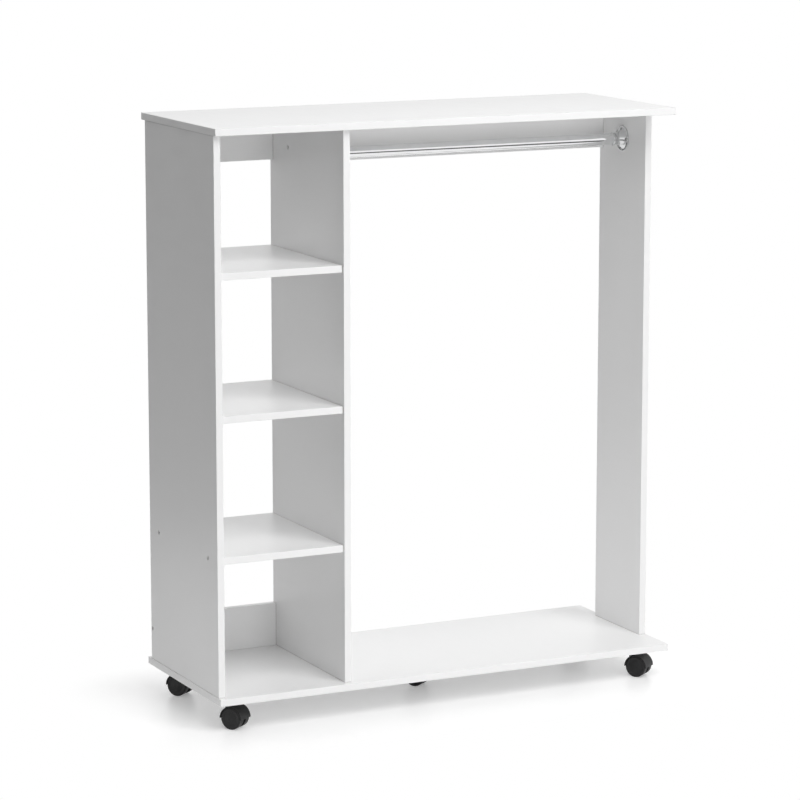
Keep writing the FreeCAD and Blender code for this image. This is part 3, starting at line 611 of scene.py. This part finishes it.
socket_half_across = 2.0
board_screw_pitch = 3.0
board_screw_section = [
    (0, 2.3), (socket_half_across, 2.4), (socket_half_across, 0.2), (2.5, 0.0), (4.55, 0), (4.75, 0.12),
    (4.8, 0.3), (4.8, 0.95), (3.55, 2.95), (3.5, 3.1), (3.5, 13.7), (3.1, 14.0),
]
board_screw_section += shank_rings(3.0, 14.2, 44.8, board_screw_pitch)
board_screw_section += [(2.2, 45.6), (1.5, 47.7), (1.2, 48.0), (0, 48.0)]
screw_zinc = (0.6, 0.61, 0.62, 1)
dull_screw_zinc = (0.42, 0.42, 0.43, 1)
screw_shine = (0.2, 0.36)
screw_spangle = 0.35
screw_relief = 0.02 * mm
zinc_screw = metal_finish(
    "zinc_screw", screw_zinc, dull_screw_zinc, shine=screw_shine,
    line_ways=(1.0, 1.0, 1.0), spangle=screw_spangle, relief=screw_relief, place=own_place,
)
lacquer_white = grey(0.74)
lacquer_end = 1.2 * mm
white_head_screw, tree, shader = new_finish("white_head_screw", IOR=1.45)
own = own_place(tree)
chipped = put(tree, "ShaderNodeTexNoise", {"Vector": own, "Scale": 1400.0, "Detail": 3.0})
down = put(tree, "ShaderNodeSeparateXYZ", {0: own}).outputs[2]
ragged_down = figure(tree, "MULTIPLY_ADD", chipped, 0.9 * mm, down)
bare = between(tree, ragged_down, lacquer_end, lacquer_end + 0.3 * mm)
worn = put(tree, "ShaderNodeGroup", {
    "Place": own, "Line ways": (1.0, 1.0, 1.0), "Tint": screw_zinc, "Dull tint": dull_screw_zinc,
    "Shine low": screw_shine[0], "Shine high": screw_shine[1], "Spangle": screw_spangle,
}, node_tree=plated_metal)
lacquer = tinted(tree, figure(tree, "MULTIPLY", chipped, 0.4), lacquer_white, (0.6, 0.59, 0.57, 1))
tree.links.new(tinted(tree, bare, lacquer, worn.outputs["Color"]), shader.inputs["Base Color"])
tree.links.new(bare, shader.inputs["Metallic"])
tree.links.new(blended(tree, bare, 0.42, worn.outputs["Roughness"]), shader.inputs["Roughness"])
raise_surface(tree, shader, chipped, screw_relief)
screw_blank = turned("board_screw", board_screw_section, screw_steps, hexagon_reach)
board_screw = run_tree(screw_blank, rolled_thread, {
    "Start": 14.1 * mm, "End": 45.0 * mm, "Pitch": board_screw_pitch * mm,
    "Core radius": 2.1 * mm, "Crest radius": 3.1 * mm, "Finish": white_head_screw,
}, "board_screw")

board_screw_recess = 1.6 * mm
board_screw_edge = 50.0 * mm
lower_rail_inset = 27.0 * mm
upper_rail_inset = 33.0 * mm
left_low, left_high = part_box("left_side_panel")
divider_low, divider_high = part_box("divider_panel")
right_low, right_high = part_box("right_side_panel")
shelf_low, shelf_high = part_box("fixed_shelf")
lower_rail_low, lower_rail_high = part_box("lower_back_rail")
upper_rail_low, upper_rail_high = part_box("upper_back_rail")
hanging_rail_low, hanging_rail_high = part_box("hanging_bay_rail")
base_low, base_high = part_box("base_board")
panels = ((left_low, left_high), (divider_low, divider_high), (right_low, right_high))
along_x = Vector((1, 0, 0))
along_z = Vector((0, 0, 1))
shelf_z = (shelf_low.z + shelf_high.z) / 2
lower_rail_y = (lower_rail_low.y + lower_rail_high.y) / 2
hanging_rail_y = (hanging_rail_low.y + hanging_rail_high.y) / 2
lower_rail_screw_z = lower_rail_high.z - lower_rail_inset
hanging_rail_screw_z = hanging_rail_low.z + upper_rail_inset
faces_and_ways = []
for low, high in panels:
    for y in (low.y + board_screw_edge, high.y - board_screw_edge):
        faces_and_ways.append((Vector(((low.x + high.x) / 2, y, base_low.z)), along_z))
for y in (left_low.y + board_screw_edge, left_high.y - board_screw_edge):
    faces_and_ways.append((Vector((left_low.x, y, shelf_z)), along_x))
    faces_and_ways.append((Vector((divider_high.x, y, shelf_z)), -along_x))
faces_and_ways.append((Vector((left_low.x, lower_rail_y, lower_rail_screw_z)), along_x))
faces_and_ways.append((Vector((divider_high.x, lower_rail_y, lower_rail_screw_z)), -along_x))
faces_and_ways.append((Vector((divider_low.x, hanging_rail_y, hanging_rail_screw_z)), along_x))
faces_and_ways.append((Vector((right_high.x, hanging_rail_y, hanging_rail_screw_z)), -along_x))
screw_places = [(face + way * board_screw_recess, way) for face, way in faces_and_ways]
drive_in(board_screw, screw_places, "board_screws", white_head_screw, seed=3)


def round_screw(material):
    """A 12.5 mm screw with a round head, which stands on the Z axis with its head's foot at zero."""
    pitch = 1.3
    section = [
        (0, -1.0), (1.8, -1.05), (1.8, -1.9), (1.95, -2.0), (2.2, -1.98), (2.6, -1.72), (2.88, -1.3), (3.0, -0.7),
        (3.0, -0.1), (2.95, 0.0), (1.75, 0.0), (1.7, 0.3),
    ]
    section += shank_rings(1.6, 0.5, 10.6, pitch) + [(1.1, 11.2), (0.25, 12.45), (0, 12.5)]
    blank = turned("round_screw", section, screw_steps, cross_reach)
    return run_tree(blank, rolled_thread, {
        "Start": 0.45 * mm, "End": 10.8 * mm, "Pitch": pitch * mm, "Core radius": 1.1 * mm,
        "Crest radius": 1.75 * mm, "Finish": material,
    }, "round_screw")


plate_hole_reach = 16.0 * mm
plate_screw_places = []
for castor in castor_names:
    low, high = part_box(castor + "_plate")
    for x_side in (-1, 1):
        for y_side in (-1, 1):
            spot = (low + high) / 2 + Vector((x_side, y_side, 0)) * plate_hole_reach
            spot.z = low.z
            plate_screw_places.append((spot, along_z))
drive_in(round_screw(zinc_screw), plate_screw_places, "castor_plate_screws", zinc_screw, seed=5)


# Wooden dowels
# Beech dowels, 8 mm by 30 mm, pressed with straight flutes that let the glue run. They stand in raw holes between
# the boards, so none shows once the wardrobe is together.
flute_count = 18
steps_per_flute = 6
flute_depth = 0.3
fluted_from_radius = 3.5
dowel_beside_screw = 32.0 * mm


def fluted_reach(radius, height, angle, index):
    """Presses the flutes into the dowel's side, and leaves its ends flat."""
    if radius <= fluted_from_radius:
        return radius
    return radius - flute_depth * (0.5 + 0.5 * math.cos(angle * flute_count))


def beech_finish():
    material, tree, shader = new_finish("beech_dowel", IOR=1.5)
    long_grain = vector_figure(tree, "MULTIPLY", own_place(tree), (1.0, 1.0, 0.06))
    fibres = put(tree, "ShaderNodeTexNoise", {"Vector": long_grain, "Scale": 2400.0, "Detail": 4.0})
    short_grain = vector_figure(tree, "MULTIPLY", own_place(tree), (1.0, 1.0, 0.3))
    rays = put(tree, "ShaderNodeTexVoronoi", {"Vector": short_grain, "Scale": 1500.0})
    ray = between(tree, rays.outputs["Distance"], 0.05, 0.3, 1.0, 0.0)
    wood = tinted(tree, fibres, (0.62, 0.44, 0.27, 1), (0.47, 0.3, 0.16, 1))
    wood = tinted(tree, figure(tree, "MULTIPLY", ray, 0.4), wood, (0.3, 0.17, 0.08, 1))
    tree.links.new(wood, shader.inputs["Base Color"])
    tree.links.new(between(tree, fibres, 0.3, 0.7, 0.55, 0.75), shader.inputs["Roughness"])
    raise_surface(tree, shader, fibres, 0.05 * mm)
    return material


beech = beech_finish()
dowel_section = [
    (0, -10), (3.2, -10), (3.9, -9.2), (4, -9.0), (4, 5), (4, 19.0), (3.9, 19.2), (3.2, 20), (0, 20),
]
dowel = turned("dowel", dowel_section, flute_count * steps_per_flute, fluted_reach)
dowel_edge = board_screw_edge + dowel_beside_screw
upper_dowel_z = upper_rail_high.z - upper_rail_inset
upper_rail_low_dowel_z = upper_rail_low.z + upper_rail_inset
dowel_places = []
for low, high in panels:
    for y in (low.y + dowel_edge, high.y - dowel_edge):
        dowel_places.append((Vector(((low.x + high.x) / 2, y, low.z)), along_z))
        dowel_places.append((Vector(((low.x + high.x) / 2, y, high.z)), -along_z))
for x, way in ((left_high.x, along_x), (divider_low.x, -along_x)):
    dowel_places.append((Vector((x, (left_low.y + left_high.y) / 2, shelf_z)), way))
    for z in (lower_rail_low.z + lower_rail_inset, upper_dowel_z, upper_rail_low_dowel_z):
        dowel_places.append((Vector((x, lower_rail_y, z)), way))
for x, way in ((divider_high.x, along_x), (right_low.x, -along_x)):
    dowel_places.append((Vector((x, hanging_rail_y, upper_dowel_z)), way))
drive_in(dowel, dowel_places, "wooden_dowels", beech, seed=7)


# Cam fittings
# Die cast zinc cams sit in the right-hand faces of the standing panels, and a steel bolt from the top board drops
# into each. Half a turn of the cam draws the top board down, so its upper face needs no screw.
zinc_cam = metal_finish(
    "zinc_cam", (0.5, 0.5, 0.51, 1), (0.34, 0.34, 0.35, 1), shine=(0.34, 0.52),
    line_ways=(1.0, 1.0, 1.0), spangle=0.5, relief=0.04 * mm,
)
dress("cam_housings", zinc_cam)
bolt_pitch = 1.8
bolt_section = [
    (0, -36), (3.2, -36), (3.5, -35.7), (3.5, -32.3), (3.2, -32), (2.0, -32), (2.0, -12.2), (3.5, -12),
    (3.8, -11.7), (3.8, -0.3), (3.5, 0), (2.5, 0.1),
]
bolt_section += shank_rings(2.4, 0.4, 8.0, bolt_pitch) + [(1.6, 8.6), (1.2, 9.0), (0, 9.0)]
cam_bolt = run_tree(turned("cam_bolt", bolt_section, screw_steps), rolled_thread, {
    "Start": 0.3 * mm, "End": 8.2 * mm, "Pitch": bolt_pitch * mm,
    "Core radius": 1.7 * mm, "Crest radius": 2.5 * mm, "Finish": zinc_screw,
}, "cam_bolt")
bolt_places = []
for low, high in panels:
    for y in (low.y + board_screw_edge, high.y - board_screw_edge):
        bolt_places.append((Vector(((low.x + high.x) / 2, y, high.z)), along_z))
drive_in(cam_bolt, bolt_places, "cam_bolts", zinc_screw, seed=11)


# Shelf pins
# Eight nickel plated steel pins with a flat tongue carry the two loose shelves.
pin_nickel = metal_finish(
    "pin_nickel", (0.62, 0.6, 0.56, 1), (0.48, 0.46, 0.43, 1), shine=(0.16, 0.3),
    line_ways=(0.05, 1.0, 1.0), spangle=0.1, relief=0.02 * mm,
)
dress("shelf_pins", pin_nickel)


# Hanging rod and flanges
# A 25 mm steel tube with a bright chrome plating hangs between two spun steel flanges, which are screwed to the
# divider and to the right panel. The tube keeps faint drawing lines along it, the flanges fine turned rings.
chrome_relief = 0.004 * mm
rod_chrome = metal_finish(
    "rod_chrome", (0.87, 0.875, 0.88, 1), (0.83, 0.835, 0.84, 1), shine=(0.025, 0.06),
    line_ways=(0.01, 1.0, 1.0), spangle=0.0, relief=chrome_relief,
)
flange_chrome = metal_finish(
    "flange_chrome", (0.72, 0.725, 0.73, 1), (0.67, 0.675, 0.68, 1), shine=(0.12, 0.2),
    line_ways=(1.0, 0.2, 0.2), spangle=0.0, relief=chrome_relief,
)
dress("hanging_rod", rod_chrome)
dress("rod_flange_divider_side", flange_chrome)
dress("rod_flange_right_side", flange_chrome)
bright_screw = metal_finish(
    "bright_screw", grey(0.66), grey(0.5), shine=(0.1, 0.22),
    line_ways=(1.0, 1.0, 1.0), spangle=0.1, relief=0.01 * mm, place=own_place,
)
flange_rim = 1.8 * mm
flange_screw_reach = 22.0 * mm
flange_screw_places = []
rod_low, rod_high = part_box("hanging_rod")
rod_y = (rod_low.y + rod_high.y) / 2
rod_z = (rod_low.z + rod_high.z) / 2
for x, way in ((divider_high.x + flange_rim, -along_x), (right_low.x - flange_rim, along_x)):
    for y_part, z_part in ((1, 0), (-1, 0), (0, 1), (0, -1)):
        spot = Vector((x, rod_y + y_part * flange_screw_reach, rod_z + z_part * flange_screw_reach))
        flange_screw_places.append((spot, way))
flange_screw = round_screw(bright_screw)
drive_in(flange_screw, flange_screw_places, "flange_screws", bright_screw, seed=13)


# Studio
# A plain white floor that fades into a white surround. Three softboxes stand above and in front of the wardrobe,
# and the pale room around it is brighter behind and overhead. What a shiny face sees below is a dim ground.
floor_radius = 1.95
floor_fade = 0.2
floor_lift = 0.27
shown_floor_white = 0.85
lighting_floor_white = 0.92
back_wall_level = 0.93
ceiling_level = 0.43
dim_ground_level = 0.15


def sees_background(tree):
    """1 for rays that should find the white surround: straight, mirrored and passing through."""
    path = tree.nodes.new("ShaderNodeLightPath").outputs
    seen = figure(tree, "MAXIMUM", path["Is Camera Ray"], path["Is Glossy Ray"])
    return figure(tree, "MAXIMUM", seen, path["Is Transmission Ray"])


made = bmesh.new()
bmesh.ops.create_circle(made, cap_ends=True, radius=floor_radius, segments=96)
mesh = bpy.data.meshes.new("floor")
made.to_mesh(mesh)
made.free()
floor = bpy.data.objects.new("floor", mesh)
bpy.context.scene.collection.objects.link(floor)
material, tree, shader = new_finish("floor_white", IOR=1.35, Roughness=0.3)
seen = sees_background(tree)
floor_white = tinted(tree, seen, grey(lighting_floor_white), grey(shown_floor_white))
tree.links.new(floor_white, shader.inputs["Base Color"])
outside = vector_figure(tree, "ABSOLUTE", object_place(tree))
outside = vector_figure(tree, "SUBTRACT", outside, (base_high.x, base_high.y, 1.0))
outside = vector_figure(tree, "MAXIMUM", outside, (0.0, 0.0, 0.0))
away = put(tree, "ShaderNodeVectorMath", {0: outside}, operation="LENGTH").outputs["Value"]
fade = figure(tree, "MULTIPLY", seen, between(tree, away, 0.0, floor_fade))
lift = figure(tree, "MULTIPLY", seen, floor_lift)
lift = put(tree, "ShaderNodeEmission", {"Color": grey(1.0), "Strength": lift})
lit = put(tree, "ShaderNodeAddShader", {0: shader, 1: lift})
surround = put(tree, "ShaderNodeEmission", {"Color": grey(1.0), "Strength": 1.0})
mixed = put(tree, "ShaderNodeMixShader", {0: fade, 1: lit, 2: surround})
output = next(node for node in tree.nodes if node.type == "OUTPUT_MATERIAL")
tree.links.new(mixed.outputs[0], output.inputs["Surface"])
mesh.materials.append(material)

world = bpy.data.worlds.new("studio")
world.use_nodes = True
bpy.context.scene.world = world
tree = world.node_tree
tree.nodes.clear()
path = tree.nodes.new("ShaderNodeLightPath").outputs
ray = tree.nodes.new("ShaderNodeTexCoord").outputs["Generated"]
ray_way = put(tree, "ShaderNodeSeparateXYZ", {0: ray}).outputs
ray_back = ray_way[1]
ray_height = ray_way[2]
surround_level = between(tree, ray_height, -0.21, -0.15, dim_ground_level, 1.0)
surround_level = figure(tree, "MAXIMUM", surround_level, path["Is Camera Ray"])
above_floor = between(tree, ray_height, -0.02, 0.02)
back_wall = between(tree, ray_back, 0.0, 0.9, 0.0, back_wall_level)
ceiling = between(tree, ray_height, 0.3, 0.9, 0.0, ceiling_level)
room_level = figure(tree, "MULTIPLY_ADD", back_wall, above_floor, ceiling)
level = blended(tree, sees_background(tree), room_level, surround_level)
background = put(tree, "ShaderNodeBackground", {"Color": grey(1.0), "Strength": level})
output = tree.nodes.new("ShaderNodeOutputWorld")
tree.links.new(background.outputs[0], output.inputs[0])


lamp_aim = Vector((0.0, 0.0, 0.5))


def soft_lamp(name, place, width, height, power):
    """A softbox that neither the camera nor a shiny surface sees."""
    lamp = bpy.data.lights.new(name, "AREA")
    lamp.shape = "RECTANGLE"
    lamp.size = width
    lamp.size_y = height
    lamp.energy = power
    shown = bpy.data.objects.new(name, lamp)
    shown.location = place
    shown.rotation_euler = (lamp_aim - Vector(place)).to_track_quat("-Z", "Y").to_euler()
    shown.visible_camera = False
    shown.visible_glossy = False
    bpy.context.scene.collection.objects.link(shown)


soft_lamp("overhead_lamp", (0.3, -2.4, 3.4), width=2.4, height=2.0, power=69.0)
soft_lamp("front_right_lamp", (1.3, -3.0, 2.0), width=1.4, height=1.4, power=23.5)
soft_lamp("low_lamp", (-0.4, -3.2, 0.9), width=1.4, height=1.0, power=21.5)

camera_pitch = 0.17826
camera_turn = 0.45421
camera_data = bpy.data.cameras.new("photo_camera")
camera_data.lens = 151.78
camera_data.sensor_width = 36.0
camera_data.clip_end = 60.0
camera = bpy.data.objects.new("photo_camera", camera_data)
camera.location = (-3.1577, -6.4164, 1.9182)
camera.rotation_euler = (math.pi / 2 - camera_pitch, 0.0, -camera_turn)
bpy.context.scene.collection.objects.link(camera)
bpy.context.scene.camera = camera
bpy.context.scene.view_settings.view_transform = "Standard"
